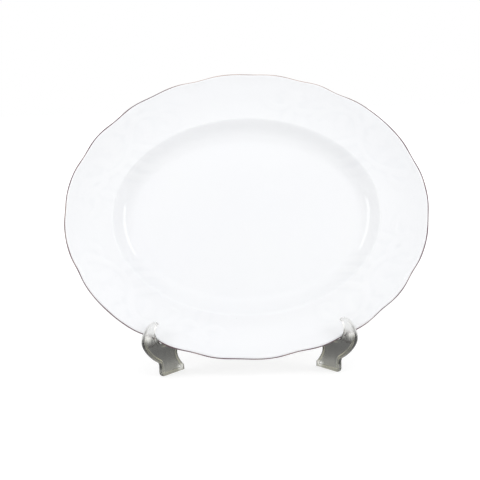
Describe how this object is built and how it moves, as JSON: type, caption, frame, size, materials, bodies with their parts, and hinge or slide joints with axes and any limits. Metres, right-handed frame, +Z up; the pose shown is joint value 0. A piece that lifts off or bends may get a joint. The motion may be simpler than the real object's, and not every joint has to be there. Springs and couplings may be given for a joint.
{
  "type": "serving platter",
  "caption": "Oval china serving platter with a wavy gilt lip and a shallow well, leaning on a clear slot-together plate stand that it lifts off.",
  "frame": {"origin": "bottom centre of the whole part, on the table under the stand", "axes": "+X to the viewer's right along the platter's length, +Y away from the viewer, +Z up"},
  "size_m": [0.329, 0.1474, 0.2653],
  "materials": {
    "porcelain": "white porcelain under a clear glaze",
    "gilding": "worn gold line fired over the glaze",
    "clear_plastic": "clear moulded plastic with a faint smoky tone"
  },
  "bodies": {
    "stand": {"left_leg": "clear_plastic", "right_leg": "clear_plastic"},
    "platter": {"platter": "porcelain", "gilt_line": "gilding"}
  },
  "joints": [
    {"name": "platter_lift", "type": "slide", "parent": "stand", "child": "platter", "axis": [0, 0.309, 0.9511], "range_m": [0, 0.16]}
  ]
}
